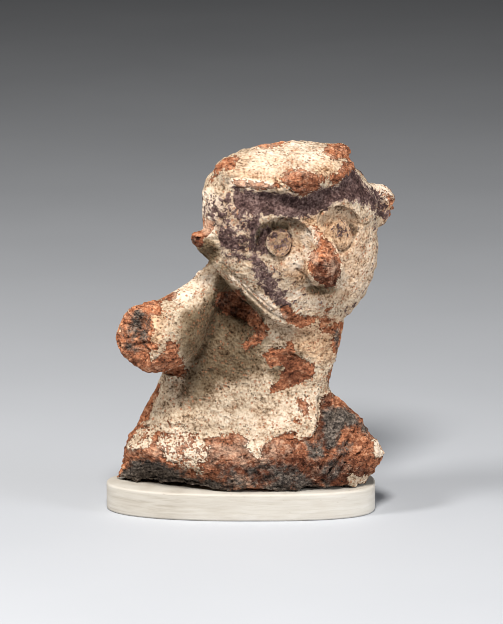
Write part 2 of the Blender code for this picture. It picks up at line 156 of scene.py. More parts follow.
# Purple paint: how solid it is, from specks (under 0) to full (2), and its outline.
PAINT = {
    "forehead": (2.2, [(232, 187), (243, 190), (262, 192), (275, 193), (290, 193), (300, 198), (312, 193),
        (320, 188), (330, 187), (340, 183), (345, 175), (350, 168), (357, 172), (362, 181), (368, 190),
        (376, 196), (386, 204), (366, 205), (356, 202), (345, 201), (335, 204), (328, 208), (320, 212),
        (312, 216), (303, 218), (290, 218), (275, 216), (262, 213), (250, 216), (240, 214), (232, 200)]),
    "temple": (0.1, [(208, 200), (214, 197), (224, 195), (240, 192), (252, 214), (250, 232), (246, 250),
        (244, 262), (228, 262), (222, 248), (217, 232), (212, 218), (206, 216), (203, 210)]),
    "temple_dark": (1.1, [(216, 226), (236, 230), (240, 238), (238, 250), (224, 250), (219, 240)]),
    "socket_side": (1.2, [(250, 214), (262, 214), (259, 224), (256, 236), (256, 250), (262, 262), (272, 270),
        (262, 268), (252, 262), (249, 246), (248, 230)]),
    "cheek": (-0.6, [(262, 256), (270, 258), (280, 268), (288, 278), (291, 286), (282, 288), (270, 279)]),
    "streak": (0.7, [(250, 250), (258, 252), (263, 262), (269, 272), (275, 282), (283, 294), (290, 305),
        (284, 310), (275, 304), (266, 294), (258, 281), (252, 268)]),
    "cheek_specks": (-0.8, [(285, 282), (300, 285), (318, 298), (322, 306), (306, 310), (292, 300)]),
    "left_socket": (0.7, [(257, 250), (257, 240), (262, 230), (270, 224), (270, 232), (265, 242), (268, 252),
        (262, 256)]),
    "left_pellet": (-0.1, [(266, 238), (272, 230), (282, 229), (290, 236), (292, 246), (284, 254),
        (272, 252), (266, 246)]),
    "right_pellet": (-0.2, [(332, 230), (338, 223), (346, 222), (352, 230), (353, 238), (344, 236),
        (336, 234)]),
    "right_ear": (0.4, [(377, 199), (384, 201), (388, 208), (390, 217), (384, 218), (377, 214)]),
    "right_ear_edge": (0.4, [(364, 186), (374, 189), (381, 197), (384, 204), (374, 210), (366, 206)]),
    "right_edge": (-0.6, [(374, 222), (382, 222), (382, 262), (378, 282), (366, 299), (348, 315), (345, 311),
        (358, 296), (369, 280), (374, 262), (375, 240)]),
}

# Grey core where the clay stayed unburnt, with how strong it is.
CORE = {
    # Grey core, set strong enough to stand also for painted shade in the undercut at the front left.
    "under_left": (2.2, [(124, 468), (134, 460), (146, 458), (158, 461), (170, 466), (182, 473), (192, 477),
        (204, 480), (218, 481), (240, 496), (108, 496), (110, 482)]),
    "foot_middle": (0.0, [(213, 482), (222, 472), (233, 468), (241, 475), (246, 483), (240, 494),
        (213, 494)]),
    "foot_right": (1.2, [(258, 486), (275, 480), (285, 475), (300, 473), (308, 478), (315, 482), (322, 488),
        (320, 496), (260, 496)]),
    "right_mass": (3.0, [(322, 410), (330, 408), (345, 408), (352, 412), (360, 420), (368, 428), (366, 433),
        (355, 426), (346, 426), (341, 432), (338, 442), (333, 450), (326, 448), (322, 435)]),
    "seam": (0.9, [(306, 443), (322, 440), (324, 458), (308, 458)]),
    "mass_low": (0.4, [(322, 470), (345, 440), (352, 444), (335, 478), (325, 488)]),
    "belly_low": (0.3, [(245, 470), (275, 462), (300, 470), (285, 482), (255, 486)]),
    "hollow": (-0.8, [(217, 291), (240, 291), (262, 318), (269, 333), (250, 330), (222, 312)]),
    "arm_end": (0.4, [(136, 310), (149, 315), (148, 330), (145, 347), (136, 351), (125, 349), (128, 330)]),
    "neck_stripe": (0.5, [(335, 330), (339, 330), (339, 350), (336, 350)]),
}

# Whiter slip and dusty clay, or darker slip under 0, some spots being painted highlight and painted shade:
# middle u and v, radii, turn in degrees, amount.
PALE_AND_SHADE = {
    "cap_top": (285, 158, 60, 26, -4, 0.6),
    "left_bump": (207, 205, 10, 18, 8, 1.3),
    "left_ear": (209, 229, 9, 12, 0, 0.8),
    "right_ear": (380, 190, 20, 14, 40, 0.7),
    # Painted highlight on the lit slip left of the nose.
    "nose_side": (306, 243, 6, 22, -12, 0.6),
    # Painted light on the face: the slip of the lower face and cheeks is whitened to look lit.
    "face_low": (300, 300, 34, 14, 10, 0.45),
    "cheek_right": (350, 258, 34, 56, 0, 0.35),
    "cheek_left": (290, 262, 22, 16, 0, 0.35),
    "arm_ridge": (196, 291, 28, 22, -24, 1.4),
    # Painted shade on the arm's shaded front.
    "arm_front": (176, 330, 24, 26, 0, -0.3),
    "hollow_middle": (249, 315, 13, 8, 30, 2.2),
    "foot_mound": (240, 480, 13, 8, 0, 0.9),
    # Painted shadow of the head on the arm's inner side.
    "arm_middle": (200, 300, 20, 30, 20, -0.9),
    "chest_right": (305, 335, 34, 26, 15, -0.2),
    "chest_lower": (262, 405, 75, 34, 4, 0.55),
    "run": (180, 447, 26, 22, 40, 0.5),
    "tip": (381, 447, 8, 11, 0, 1.6),
    "foot": (362, 484, 12, 8, 0, 0.6),
    "left_cheek": (243, 282, 26, 14, 45, -0.35),
    "jaw_crust": (252, 294, 48, 7, 36, 1.3),
    "under_cap": (222, 188, 12, 9, 20, -0.4),
    # Painted shade under the left ear.
    "ear_under": (207, 252, 14, 16, 0, -2.2),
    "pellet_left": (279, 243, 14, 15, 0, -1.1),
    "pellet_right": (341, 234, 12, 15, 0, -0.3),
    # Painted shadow under the nose.
    "nose_foot": (322, 290, 20, 6, 0, -1.9),
    # Painted shade along the upper rims of the eye sockets.
    "socket_left_top": (276, 226, 20, 6, 0, -1.6),
    "socket_left_side": (260, 240, 6, 16, 0, -1.3),
    "socket_right_top": (332, 212, 14, 5, -10, -0.3),
    "cap_rim": (250, 184, 30, 7, 5, 0.9),
    # Painted shadow of the head and arm on the chest.
    "chest_shade": (224, 340, 54, 52, 0, -1.6),
    "chest_middle": (240, 385, 70, 34, 0, -0.6),
    "chest_side": (316, 350, 16, 24, 0, 0.1),
    # Painted shade between the arm and the chest.
    "arm_inner": (192, 338, 12, 30, 50, -0.3),
    "body_dust": (240, 452, 60, 20, 0, 0.5),
    "left_dust": (150, 448, 30, 12, 0, 0.4),
    "left_bump_front": (212, 205, 14, 22, 0, 0.6),
    "socket_floor": (296, 256, 16, 12, 0, 0.4),
    # Painted highlights on the nose's lit upper left and left side.
    "nose_highlight": (314, 236, 6, 13, -28, 1.3),
    "nose_side_highlight": (315, 258, 5, 10, -10, 0.7),
    "arm_end": (130, 320, 30, 30, 0, 0.35),
    "lens_dirt": (292, 370, 28, 24, 0, -0.8),
    # Painted shade in the hollow under the jaw, between the arm and the chest and in the dip on the chest's
    # left.
    "hollow_shade": (236, 306, 34, 24, 30, -1.6),
    "neck_shade": (222, 278, 10, 18, 0, -1.2),
    "arm_web": (206, 330, 14, 34, 35, -0.9),
    "chest_left": (196, 392, 20, 24, 20, -0.9),
}

# Warmer slip and brighter clay, or duller clay under 0, in the same form, some spots being painted highlight
# and painted shade.
WARM_AND_SHADE = {
    "cap": (285, 168, 70, 26, 0, 0.8),
    "cap_scar": (302, 184, 24, 13, 0, -1.5),
    "pellet_left": (279, 243, 14, 15, 0, 0.9),
    "pellet_right": (341, 234, 12, 15, 0, 0.6),
    "ear": (198, 231, 10, 10, 0, 0.2),
    "ear_right": (386, 202, 9, 20, -10, 1.0),
    "side_left": (146, 400, 12, 26, 20, 0.9),
    "face": (330, 255, 56, 62, 0, 0.7),
    "chest_right": (318, 340, 34, 30, 0, 0.9),
    "nose_top": (320, 250, 12, 12, 0, 0.4),
    # Painted shade on the nose's lower half and right side, and a painted highlight on its bridge.
    "nose_middle": (327, 269, 16, 13, 0, -2.8),
    "nose_bridge": (314, 232, 9, 14, -30, 1.4),
    "nose_low": (326, 281, 22, 12, -8, -2.6),
    "nose_right": (337, 268, 6, 14, 0, -0.9),
    # Painted shade under the left ear and in the hollow under the jaw.
    "ear_low": (196, 243, 12, 8, 20, -1.4),
    "hollow": (232, 300, 26, 20, 20, -0.7),
    "chin": (298, 317, 22, 9, 10, -0.1),
    "arm_end": (136, 326, 34, 44, 0, 1.0),
    "cap_back": (272, 143, 24, 8, 0, 0.9),
    "neck": (338, 335, 10, 22, 0, 0.5),
    "right_mass": (360, 440, 26, 26, 20, -0.1),
    "left_tip": (122, 475, 14, 24, 10, 0.5),
    "low_dark": (290, 476, 70, 18, 0, -1.1),
    "low_right": (345, 470, 30, 20, 0, -1.0),
    "body_low": (250, 458, 70, 20, 0, -1.0),
    # Painted shade under the arm's broken end.
    "arm_low": (130, 356, 26, 16, 0, -0.8),
    "cheek_left": (292, 262, 18, 18, 0, 0.6),
    # Painted shade in the crevice between the body and the mass on the right.
    "seam_dark": (325, 425, 10, 36, 0, -1.8),
    "lens": (292, 370, 26, 22, 20, -0.9),
}

# Slip chipped into flecks, in the same form.
FLECK = {
    "cap": (300, 160, 40, 18, 0, 0.6),
    "cap_rim": (252, 183, 24, 6, 0, 1.2),
    "under_cap": (220, 192, 14, 10, 0, 0.6),
    "left_bump": (206, 205, 9, 16, 0, 0.5),
    "temple": (236, 230, 24, 36, 0, 1.0),
    "jaw": (258, 280, 24, 24, 40, 1.0),
    "chin": (300, 300, 32, 16, 10, 0.9),
    "chin_right": (332, 306, 20, 16, -20, 0.8),
    "cheek_right": (366, 245, 12, 50, 0, 1.0),
    "nose_side": (305, 226, 10, 10, 0, 1.0),
    "right_ear": (385, 198, 14, 20, 40, 3.0),
    "arm": (185, 310, 30, 20, -20, 0.5),
    "arm_edge": (208, 322, 12, 18, 0, 1.2),
    "arm_low": (172, 340, 14, 18, 0, 0.8),
    "chest_right": (320, 345, 20, 20, 0, 0.6),
    "run": (182, 446, 28, 24, 0, 1.6),
    "ledge": (140, 438, 16, 12, 0, 1.6),
    "chest_left": (205, 345, 22, 22, 0, 0.8),
    "low_right": (305, 412, 18, 22, 0, 0.9),
}

# Grooves and ridges drawn with a tool or left by a break: depth, half width in pixels, the line's pixels.
STROKES = {
    "left_socket_rim": (1.1, 3.2, [(258, 250), (257, 240), (261, 231), (268, 225), (278, 222), (290, 223),
        (297, 226)]),
    "right_socket_rim": (0.5, 3.2, [(323, 226), (321, 219), (323, 213), (331, 210), (342, 209)]),
    "nose_crease": (1.0, 1.5, [(298, 270), (303, 275), (308, 282), (312, 288), (320, 291)]),
    "nose_foot": (0.6, 2.2, [(312, 284), (320, 290), (330, 289), (338, 282)]),
    "jaw_groove": (1.0, 1.5, [(221, 264), (229, 274), (240, 286), (250, 297), (262, 307), (272, 315),
        (285, 322), (296, 326)]),
    "jaw_groove_low": (0.8, 1.3, [(228, 268), (238, 280), (250, 291), (262, 301), (274, 311)]),
    "cap_groove": (0.6, 1.3, [(238, 188), (246, 189), (262, 191), (272, 191), (281, 188)]),
    "scar_crevice": (0.8, 1.3, [(281, 181), (287, 187), (292, 192), (300, 197), (310, 193), (318, 189)]),
    "scar_crevice_high": (0.5, 1.2, [(288, 186), (296, 187), (304, 185), (314, 186)]),
    "knob_groove": (0.5, 1.2, [(326, 157), (330, 160), (338, 160), (346, 160), (350, 164)]),
    "arm_crack": (0.7, 1.2, [(146, 310), (152, 313), (158, 314), (162, 317)]),
    "arm_hollow": (2.0, 6.0, [(143, 318), (139, 330), (138, 342)]),
    "arm_low_crack": (0.9, 1.5, [(124, 350), (132, 346), (144, 343), (152, 345)]),
    "arm_ray_a": (0.8, 1.4, [(120, 322), (130, 326), (138, 330)]),
    "arm_ray_b": (0.8, 1.4, [(128, 305), (134, 314), (139, 322)]),
    "arm_ray_c": (0.7, 1.3, [(118, 338), (130, 338), (138, 336)]),
    "mass_crack": (1.6, 1.8, [(329, 478), (334, 467), (341, 455)]),
    "mass_crack_fine": (0.9, 1.4, [(339, 477), (343, 470), (347, 464)]),
    "mass_crack_high": (1.2, 1.6, [(328, 425), (333, 414), (336, 405), (338, 400)]),
    "mass_seam": (2.0, 3.0, [(321, 398), (322, 415), (321, 432), (318, 448)]),
    "mass_hair": (0.8, 1.3, [(357, 458), (364, 452)]),
    "mass_streak_a": (1.0, 1.6, [(336, 440), (345, 424), (350, 412)]),
    "mass_streak_b": (1.0, 1.6, [(348, 442), (358, 428)]),
    "mass_streak_c": (1.0, 1.6, [(350, 476), (358, 462), (366, 446)]),
    "mass_streak_d": (0.8, 1.4, [(322, 470), (330, 452), (334, 440)]),
    "mass_hair_right": (0.4, 1.0, [(370, 452), (373, 462)]),
    "body_hair": (0.4, 1.0, [(220, 440), (232, 446), (247, 447)]),
    "body_hair_low": (0.4, 1.0, [(262, 462), (268, 463)]),
    "left_ear_fold": (0.6, 1.6, [(196, 238), (208, 239), (218, 241)]),
    "arm_valley": (0.5, 3.0, [(180, 375), (196, 356), (214, 338), (228, 322)]),
}

# Rises and dips too small for the CAD: middle u and v, radii, turn in degrees, height.
MOUNDS = {
    "nose_ball": (324, 268, 17, 19, -10, 1.5),
    "nose_bridge": (316, 240, 7, 17, -22, 0.9),
    "scar": (302, 182, 22, 13, 0, 1.4),
    "knob_left": (225, 168, 14, 11, -30, 1.0),
    "knob_right": (340, 152, 15, 12, 0, 1.0),
    "rim_right": (340, 172, 15, 10, -30, 0.8),
    "rim_left": (255, 184, 24, 6, 5, 0.7),
    "under_rim": (262, 203, 34, 9, 0, -0.8),
    "under_scar": (305, 204, 26, 8, 0, -0.8),
    "brow_right": (345, 200, 24, 7, -10, 0.5),
    "cheek": (355, 262, 18, 30, 0, 0.5),
    "chest_dip": (200, 395, 16, 22, 30, -0.8),
    "chest_ledge": (190, 420, 42, 8, 4, 0.6),
    "run": (182, 448, 24, 18, 40, 0.5),
    "body_arch": (185, 480, 50, 12, 8, -1.6),
    "foot_dip": (262, 478, 18, 12, 0, -0.9),
    "foot_mound": (230, 478, 15, 12, 0, 1.0),
    "mass_fold": (342, 418, 9, 22, -30, 0.9),
    "mass_dip": (352, 446, 10, 24, 30, -0.9),
    "lens": (292, 370, 26, 20, 10, -0.4),
}

# Small holes: u, v, radius in pixels, depth.
HOLES = {
    "cap_hole": (233, 165, 2.2, 1.0),
    "knob_hole": (345, 154, 2.2, 1.2),
    "under_cap_left": (220, 187, 1.6, 0.8),
    "under_cap_right": (226, 184, 1.6, 0.8),
    "scar_tip": (281, 180, 1.8, 0.9),
    "arm_hole": (158, 335, 1.8, 1.0),
    "arm_nick_high": (190, 313, 1.6, 0.7),
    "arm_nick_low": (196, 318, 1.3, 0.6),
    "chest_hole": (210, 338, 2.6, 1.2),
    "chest_triangle": (210, 372, 2.8, 1.3),
    "chest_left_low": (186, 375, 2.6, 0.9),
    "chest_high": (228, 327, 1.4, 0.7),
    "chest_right_a": (243, 384, 1.2, 0.7),
    "chest_right_b": (246, 387, 1.1, 0.6),
    "lens_hole": (263, 354, 1.3, 0.7),
    "body_hole": (287, 456, 2.2, 1.0),
    "body_nick_a": (247, 461, 1.4, 0.6),
    "body_nick_b": (222, 457, 1.4, 0.6),
    "foot_nick": (323, 485, 2.2, 0.8),
    "cheek_speck": (366, 224, 1.2, 0.5),
}

# Eye pellets: middle u and v, radii in pixels.
PELLETS = {
    "left": (279.5, 242.5, 14.0, 15.0),
    "right": (341.0, 234.5, 11.8, 14.8),
}

# How far pellets rise and how deep the groove round them is, and the widths of both edges in pixels.
PELLET_RISE = 0.8
PELLET_EDGE = 1.5
PELLET_GROOVE = 0.9
PELLET_GROOVE_WIDTH = 1.3

# Eye sockets: how far each is pressed in again, the v where that has faded out, and its outline.
SOCKET_WALL = 0.7
SOCKET_FULL_SHARE = 0.3
SOCKETS = {
    "left": (1.4, 262.0, [(258, 252), (256, 244), (258, 234), (264, 226), (273, 221), (284, 220), (296, 222),
        (306, 226), (313, 234), (317, 245), (313, 262), (262, 262)]),
    "right": (1.0, 248.0, [(321, 228), (319, 218), (322, 211), (330, 207), (343, 207), (355, 210),
        (363, 220), (364, 240), (352, 252), (332, 244)]),
}

# Patches count to this many millimetres from their outlines, looked for within a margin in pixels. A stroke
# reaches so many half widths, and a spot fades between these shares of its radii.
REACH = 3.0
OUTLINE_MARGIN = 14.0
STROKE_REACH = 2.5
SPOT_FADE = (1.15, 0.45)

# What the camera sees of a point: limits on how squarely it faces it, and where its ray starts, in metres.
SEEN_FACING = (0.02, 0.30)
FRONT_FACING = (-0.45, -0.05)
SHOWN_LIMITS = (0.15, 0.60)
SIGHT_ROUNDS = 5
RAY_START_AHEAD = 0.0006
RAY_START_OUT = 0.0002

# The head's own directions, the middle of the face in metres, and where the head ends below and behind.
HEAD_YAW = math.radians(27.0)
HEAD_PITCH = math.radians(10.0)
FACE_OUT = np.array((
    math.sin(HEAD_YAW) * math.cos(HEAD_PITCH),
    -math.cos(HEAD_YAW) * math.cos(HEAD_PITCH),
    -math.sin(HEAD_PITCH),
))
FACE_UP = np.cross(FACE_OUT, (math.cos(HEAD_YAW), math.sin(HEAD_YAW), 0.0))
FACE_MIDDLE = np.array((0.0243, -0.0190, 0.1033))
CHIN_UP = -38.5
NAPE_OUT = -45.0
HEAD_FADE = 2.0

# The hidden sides: noise sizes, heights under which they are bare or grey, and the head's band of paint.
WEAR_CELL = 13.0
WEAR_FINE_CELL = 4.0
HIDDEN_BARE_BELOW = 21.0
HIDDEN_CORE_BELOW = 14.0
PAINT_BAND = (1.0, 22.0)
CAP_ABOVE_BAND = (1.0, 4.0)

# Their slip, paint and core: what there is, what noise wears off, how each fades and where it stops.
HIDDEN_SLIP = 1.0
HEAD_SLIP = 1.2
CAP_SLIP = 1.5
COARSE_WEAR = 5.0
FINE_WEAR = 1.2
FOOT_FADE = 0.4
FOOT_WEAR = 6.0
BAND_FADE = 0.3
BAND_LEVEL = 1.2
BAND_WEAR = 2.5
CORE_FADE = 0.3
PAINT_LIMIT = 2.0
CORE_LIMIT = 1.2
HIDDEN_PALE = -0.2
HEAD_PALE = 0.35

# Relief, in millimetres: how deep, and how far apart its features are.
SWELL = (0.45, 9.0)
SLIP_RIPPLE = (0.50, 2.0)
BREAK_LUMPS = (1.7, 6.5)
BREAK_LUMPS_BIAS = 0.05
BREAK_GRAIN = (0.34, 1.6)
BREAK_TEAR = (1.0, 3.4)
TEAR_STRETCH = (0.6, 1.0, 1.6)
TEAR_ONSET = 0.30
SLIP_THICKNESS = 0.35
SLIP_EDGE = (0.35, -0.35)
PIT_COUNT = 900
PIT_RADII = (0.45, 1.15)
PIT_DEPTHS = (0.35, 0.8)
PIT_SHARE_IN_SLIP = 0.6
CAVITY_ROUNDS = 3

# Noise: the seeds, how it is scrambled, and how much weaker each finer layer is.
SEED = 7
SEED_SHIFT = 17.31
SCRAMBLE = (73856093, 19349663, 83492791)
SCRAMBLE_SEED = 2971215
SCRAMBLE_AGAIN = 1274126177
LAYER_SHARE = 0.55
LAYER_SPAN = 1.5


def smoothstep(low, high, value):
    t = np.clip((value - low) / (high - low), 0.0, 1.0)
    return t * t * (3.0 - 2.0 * t)


def blended(share, shown, hidden):
    return shown * share + hidden * (1.0 - share)


def lattice_noise(points, cell, seed):
    """Smooth noise from -1 to 1, with features about one cell apart; points and cell in millimetres."""
    places = points / cell + seed * SEED_SHIFT
    corner = np.floor(places)
    part = places - corner
    part = part * part * (3.0 - 2.0 * part)
    corner = corner.astype(np.int64)
    total = np.zeros(len(points))
    for offset in itertools.product((0, 1), repeat=3):
        near = (corner + offset) * SCRAMBLE
        mixed = near[:, 0] ^ near[:, 1] ^ near[:, 2] ^ seed * SCRAMBLE_SEED
        mixed = (mixed ^ (mixed >> 13)) * SCRAMBLE_AGAIN
        mixed = mixed ^ (mixed >> 16)
        value = (mixed & 0xFFFF) / 32767.5 - 1.0
        weight = np.prod(np.where(offset, part, 1.0 - part), axis=1)
        total += weight * value
    return total


def layered_noise(points, cell, seed, layers=3):
    total = np.zeros(len(points))
    for layer in range(layers):
        total += lattice_noise(points, cell / 2.0**layer, seed + layer) * LAYER_SHARE**layer
    return total / LAYER_SPAN


def photo_pixels(points):
    """Where points in metres lie in the photograph."""
    offset = points - TARGET
    depth = CAMERA_DISTANCE / (CAMERA_DISTANCE - offset @ VIEW_BACK)
    u = IMAGE_WIDTH / 2.0 + offset @ VIEW_RIGHT * depth / PIXEL
    v = IMAGE_HEIGHT / 2.0 - offset @ VIEW_UP * depth / PIXEL
    return u, v


def near_outline(u, v, outline, margin):
    """Indices of the points inside an outline's box with a margin."""
    corners = np.array(outline, dtype=float)
    low, high = corners.min(axis=0) - margin, corners.max(axis=0) + margin
    return np.flatnonzero((u > low[0]) & (u < high[0]) & (v > low[1]) & (v < high[1]))


def segment_distance(u, v, start, end):
    along_u, along_v = end[0] - start[0], end[1] - start[1]
    length = along_u * along_u + along_v * along_v
    share = np.clip(((u - start[0]) * along_u + (v - start[1]) * along_v) / length, 0.0, 1.0)
    return np.hypot(u - start[0] - share * along_u, v - start[1] - share * along_v)


def line_distance(u, v, line):
    """Pixels to the nearest stretch of a line with corners."""
    distance = np.full(len(u), np.inf)
    for start, end in zip(line, line[1:]):
        distance = np.minimum(distance, segment_distance(u, v, start, end))
    return distance


def inside_distance(u, v, outline):
    """Millimetres inside an outline, less than 0 outside it."""
    closed = outline + outline[:1]
    inside = np.zeros(len(u), dtype=bool)
    for start, end in zip(closed, closed[1:]):
        if start[1] != end[1]:
            at = start[0] + (v - start[1]) * (end[0] - start[0]) / (end[1] - start[1])
            inside ^= ((start[1] > v) != (end[1] > v)) & (u < at)
    distance = line_distance(u, v, closed)
    return np.where(inside, distance, -distance) * MM_PER_PIXEL


def stamped(u, v, patches):
    """A field of millimetres inside patches, each given as the level where it stops rising and an outline."""
    field = np.full(len(u), -REACH)
    for level, outline in patches:
        near = near_outline(u, v, outline, OUTLINE_MARGIN)
        inside = np.minimum(inside_distance(u[near], v[near], outline), level)
        field[near] = np.maximum(field[near], inside)
    return field


def spot(u, v, middle_u, middle_v, radius_u, radius_v, turn):
    """A soft round patch: 1 in its middle, 0 past its edge."""
    angle = math.radians(turn)
    across = (u - middle_u) * math.cos(angle) + (v - middle_v) * math.sin(angle)
    down = (v - middle_v) * math.cos(angle) - (u - middle_u) * math.sin(angle)
    return smoothstep(*SPOT_FADE, np.hypot(across / radius_u, down / radius_v))


def spotted(u, v, spots):
    """The soft patches of a table added up."""
    field = np.zeros(len(u))
    for *place, amount in spots.values():
        field += spot(u, v, *place) * amount
    return field


def rows_of(items, name, width, kind=float):
    """One property of a mesh's points or edges, as an array with a row for each."""
    values = np.empty(len(items) * width, dtype=kind)
    items.foreach_get(name, values)
    return values.reshape(-1, width)


class Skin:
    """A mesh's points with what the patches need: pixels, facing and how much the camera sees of each."""

    def __init__(self, mesh):
        self.points = rows_of(mesh.vertices, "co", 3)
        self.normals = rows_of(mesh.vertices, "normal", 3)
        self.edges = rows_of(mesh.edges, "vertices", 2, np.int64)
        self.mm = self.points / MM
        self.u, self.v = photo_pixels(self.points)
        towards = CAMERA - self.points
        towards /= np.linalg.norm(towards, axis=1)[:, None]
        facing = np.einsum("ij,ij->i", towards, self.normals)
        self.in_front = smoothstep(*FRONT_FACING, facing)
        seen = self.in_sight(mesh, towards, smoothstep(*SEEN_FACING, facing))
        self.shown = smoothstep(*SHOWN_LIMITS, self.spread(seen, SIGHT_ROUNDS))

    def in_sight(self, mesh, towards, seen):
        """Sets seen to 0 where something stands between a point and the photograph's camera."""
        tree = BVHTree.FromPolygons(
            [vertex.co for vertex in mesh.vertices], [face.vertices for face in mesh.polygons]
        )
        starts = self.points + towards * RAY_START_AHEAD + self.normals * RAY_START_OUT
        for i in np.flatnonzero(seen > 0.0):
            if tree.ray_cast(Vector(starts[i]), Vector(towards[i]))[0] is not None:
                seen[i] = 0.0
        return seen

    def spread(self, values, rounds):
        """The values evened out between neighbours."""
        first, second = self.edges.T
        count = len(values)
        neighbours = np.bincount(first, minlength=count) + np.bincount(second, minlength=count)
        for _ in range(rounds):
            total = np.bincount(first, values[second], count) + np.bincount(second, values[first], count)
            values = 0.5 * values + 0.5 * total / np.maximum(neighbours, 1)
        return values

    def cavity(self):
        """Millimetres that each point lies under its neighbours."""
        evened = np.column_stack([self.spread(axis, CAVITY_ROUNDS) for axis in self.mm.T])
        return self.spread(np.einsum("ij,ij->i", evened - self.mm, self.normals), 1)


def hidden_wear(skin):
    """Slip, paint, core and paleness by noise, for the sides that the photograph doesn't show."""
    offset = (skin.points - FACE_MIDDLE) / MM
    up, out = offset @ FACE_UP, offset @ FACE_OUT
    on_head = smoothstep(CHIN_UP, CHIN_UP + HEAD_FADE, up) * smoothstep(NAPE_OUT, NAPE_OUT + HEAD_FADE, out)
    on_cap = smoothstep(PAINT_BAND[1] + CAP_ABOVE_BAND[0], PAINT_BAND[1] + CAP_ABOVE_BAND[1], up)
    height = skin.mm[:, 2]
    worn = layered_noise(skin.mm, WEAR_CELL, SEED)
    worn_fine = layered_noise(skin.mm, WEAR_FINE_CELL, SEED + 20)
    worn_core = layered_noise(skin.mm, WEAR_CELL, SEED + 40)
    slip = HIDDEN_SLIP + COARSE_WEAR * worn + FINE_WEAR * worn_fine + on_head * HEAD_SLIP + on_cap * CAP_SLIP
    slip = np.minimum(slip, (height - HIDDEN_BARE_BELOW) * FOOT_FADE + FOOT_WEAR * worn)
    band = np.minimum(up - PAINT_BAND[0], PAINT_BAND[1] - up) * BAND_FADE
    paint = np.minimum(band, BAND_LEVEL) + BAND_WEAR * worn_fine - REACH * (1.0 - on_head)
    core = (HIDDEN_CORE_BELOW - height) * CORE_FADE + COARSE_WEAR * worn_core
    return (
        np.clip(slip, -REACH, REACH),
        np.clip(paint, -REACH, PAINT_LIMIT),
        np.clip(core, -REACH, CORE_LIMIT),
        HEAD_PALE * on_head + HIDDEN_PALE,
    )


def fields(skin):
    """Signed millimetres of slip, paint and core, and amounts of the rest, for each point."""
    u, v = skin.u, skin.v
    bare = stamped(u, v, [(REACH, outline) for outline in BARE.values()])
    slip, paint, core, pale = hidden_wear(skin)
    return {
        "slip": blended(skin.shown, np.maximum(-bare, stamped(u, v, ISLANDS.values())), slip),
        "paint": blended(skin.shown, stamped(u, v, PAINT.values()), paint),
        "core": blended(skin.shown, stamped(u, v, CORE.values()), core),
        "pale": blended(skin.in_front, spotted(u, v, PALE_AND_SHADE), pale),
        "warm": spotted(u, v, WARM_AND_SHADE) * skin.in_front,
        "fleck": spotted(u, v, FLECK) * skin.in_front,
        "cavity": skin.cavity(),
    }


def relief(skin, found):
    """How far each point moves along its normal, in millimetres."""
    bare = smoothstep(*SLIP_EDGE, found["slip"])
    move = broken_surface(skin.mm, bare)
    press_marks(move, skin.u, skin.v, skin.shown)
    press_eyes(move, skin.u, skin.v, skin.shown)
    return move + pits(skin, bare)


def broken_surface(points, bare):
    """The slip's thickness and ripples, and the bare clay's lumps, grain and tears."""
    move = -SLIP_THICKNESS * bare
    move -= SWELL[0] * (0.5 + layered_noise(points, SWELL[1], SEED + 1))
    move -= SLIP_RIPPLE[0] * (1.0 - bare) * (0.5 + layered_noise(points, SLIP_RIPPLE[1], SEED + 2))
    lumps = layered_noise(points, BREAK_LUMPS[1], SEED + 3)
    grain = layered_noise(points, BREAK_GRAIN[1], SEED + 4)
    torn = 1.0 - np.abs(layered_noise(points * TEAR_STRETCH, BREAK_TEAR[1], SEED + 5)) * 2.0
    move += bare * (BREAK_LUMPS[0] * (lumps - BREAK_LUMPS_BIAS) + BREAK_GRAIN[0] * grain)
    move -= bare * BREAK_TEAR[0] * np.clip(torn - TEAR_ONSET, 0.0, 1.0)
    return move


def press_marks(move, u, v, shown):
    """Grooves, rises, dips and small holes."""
    for depth, half_width, line in STROKES.values():
        near = near_outline(u, v, line, half_width * STROKE_REACH)
        distance = line_distance(u[near], v[near], line)
        move[near] -= depth * np.exp(-((distance / half_width) ** 2)) * shown[near]
    for *place, height in MOUNDS.values():
        move += spot(u, v, *place) * height * shown
    for middle_u, middle_v, radius, depth in HOLES.values():
        reach = np.hypot(u - middle_u, v - middle_v) / radius
        move -= depth * np.exp(-(reach**2)) * shown


def press_eyes(move, u, v, shown):
    """The pellets, each in its groove, and the walls of the sockets."""
    for middle_u, middle_v, radius_u, radius_v in PELLETS.values():
        reach = np.hypot((u - middle_u) / radius_u, (v - middle_v) / radius_v)
        from_edge = (reach - 1.0) * radius_u
        groove = np.exp(-(((from_edge - PELLET_GROOVE_WIDTH) / PELLET_GROOVE_WIDTH) ** 2))
        move += (PELLET_RISE * smoothstep(0.0, -PELLET_EDGE, from_edge) - PELLET_GROOVE * groove) * shown
    for depth, fades_at, outline in SOCKETS.values():
        near = near_outline(u, v, outline, OUTLINE_MARGIN)
        inside = smoothstep(0.0, SOCKET_WALL, inside_distance(u[near], v[near], outline))
        top = min(corner_v for _, corner_v in outline)
        fade = smoothstep(fades_at, top + SOCKET_FULL_SHARE * (fades_at - top), v[near])
        move[near] -= depth * inside * fade * shown[near]


def pits(skin, bare):
    """Small holes left by burnt-out specks, spread over the whole skin."""
    draw = np.random.default_rng(SEED)
    tree = KDTree(len(skin.points))
    for i, point in enumerate(skin.points):
        tree.insert(point, i)
    tree.balance()
    move = np.zeros(len(skin.points))
    for middle in draw.choice(len(skin.points), PIT_COUNT, replace=False):
        radius = draw.uniform(*PIT_RADII) * (PIT_SHARE_IN_SLIP + (1.0 - PIT_SHARE_IN_SLIP) * bare[middle])
        depth = radius * draw.uniform(*PIT_DEPTHS)
        for _, i, distance in tree.find_range(skin.points[middle], radius * MM):
            share = distance / (radius * MM)
            move[i] = min(move[i], -depth * (1.0 - share * share))
    return move


def placed(name, data):
    """A new object in the scene."""
    made = bpy.data.objects.new(name, data)
    bpy.context.scene.collection.objects.link(made)
    return made


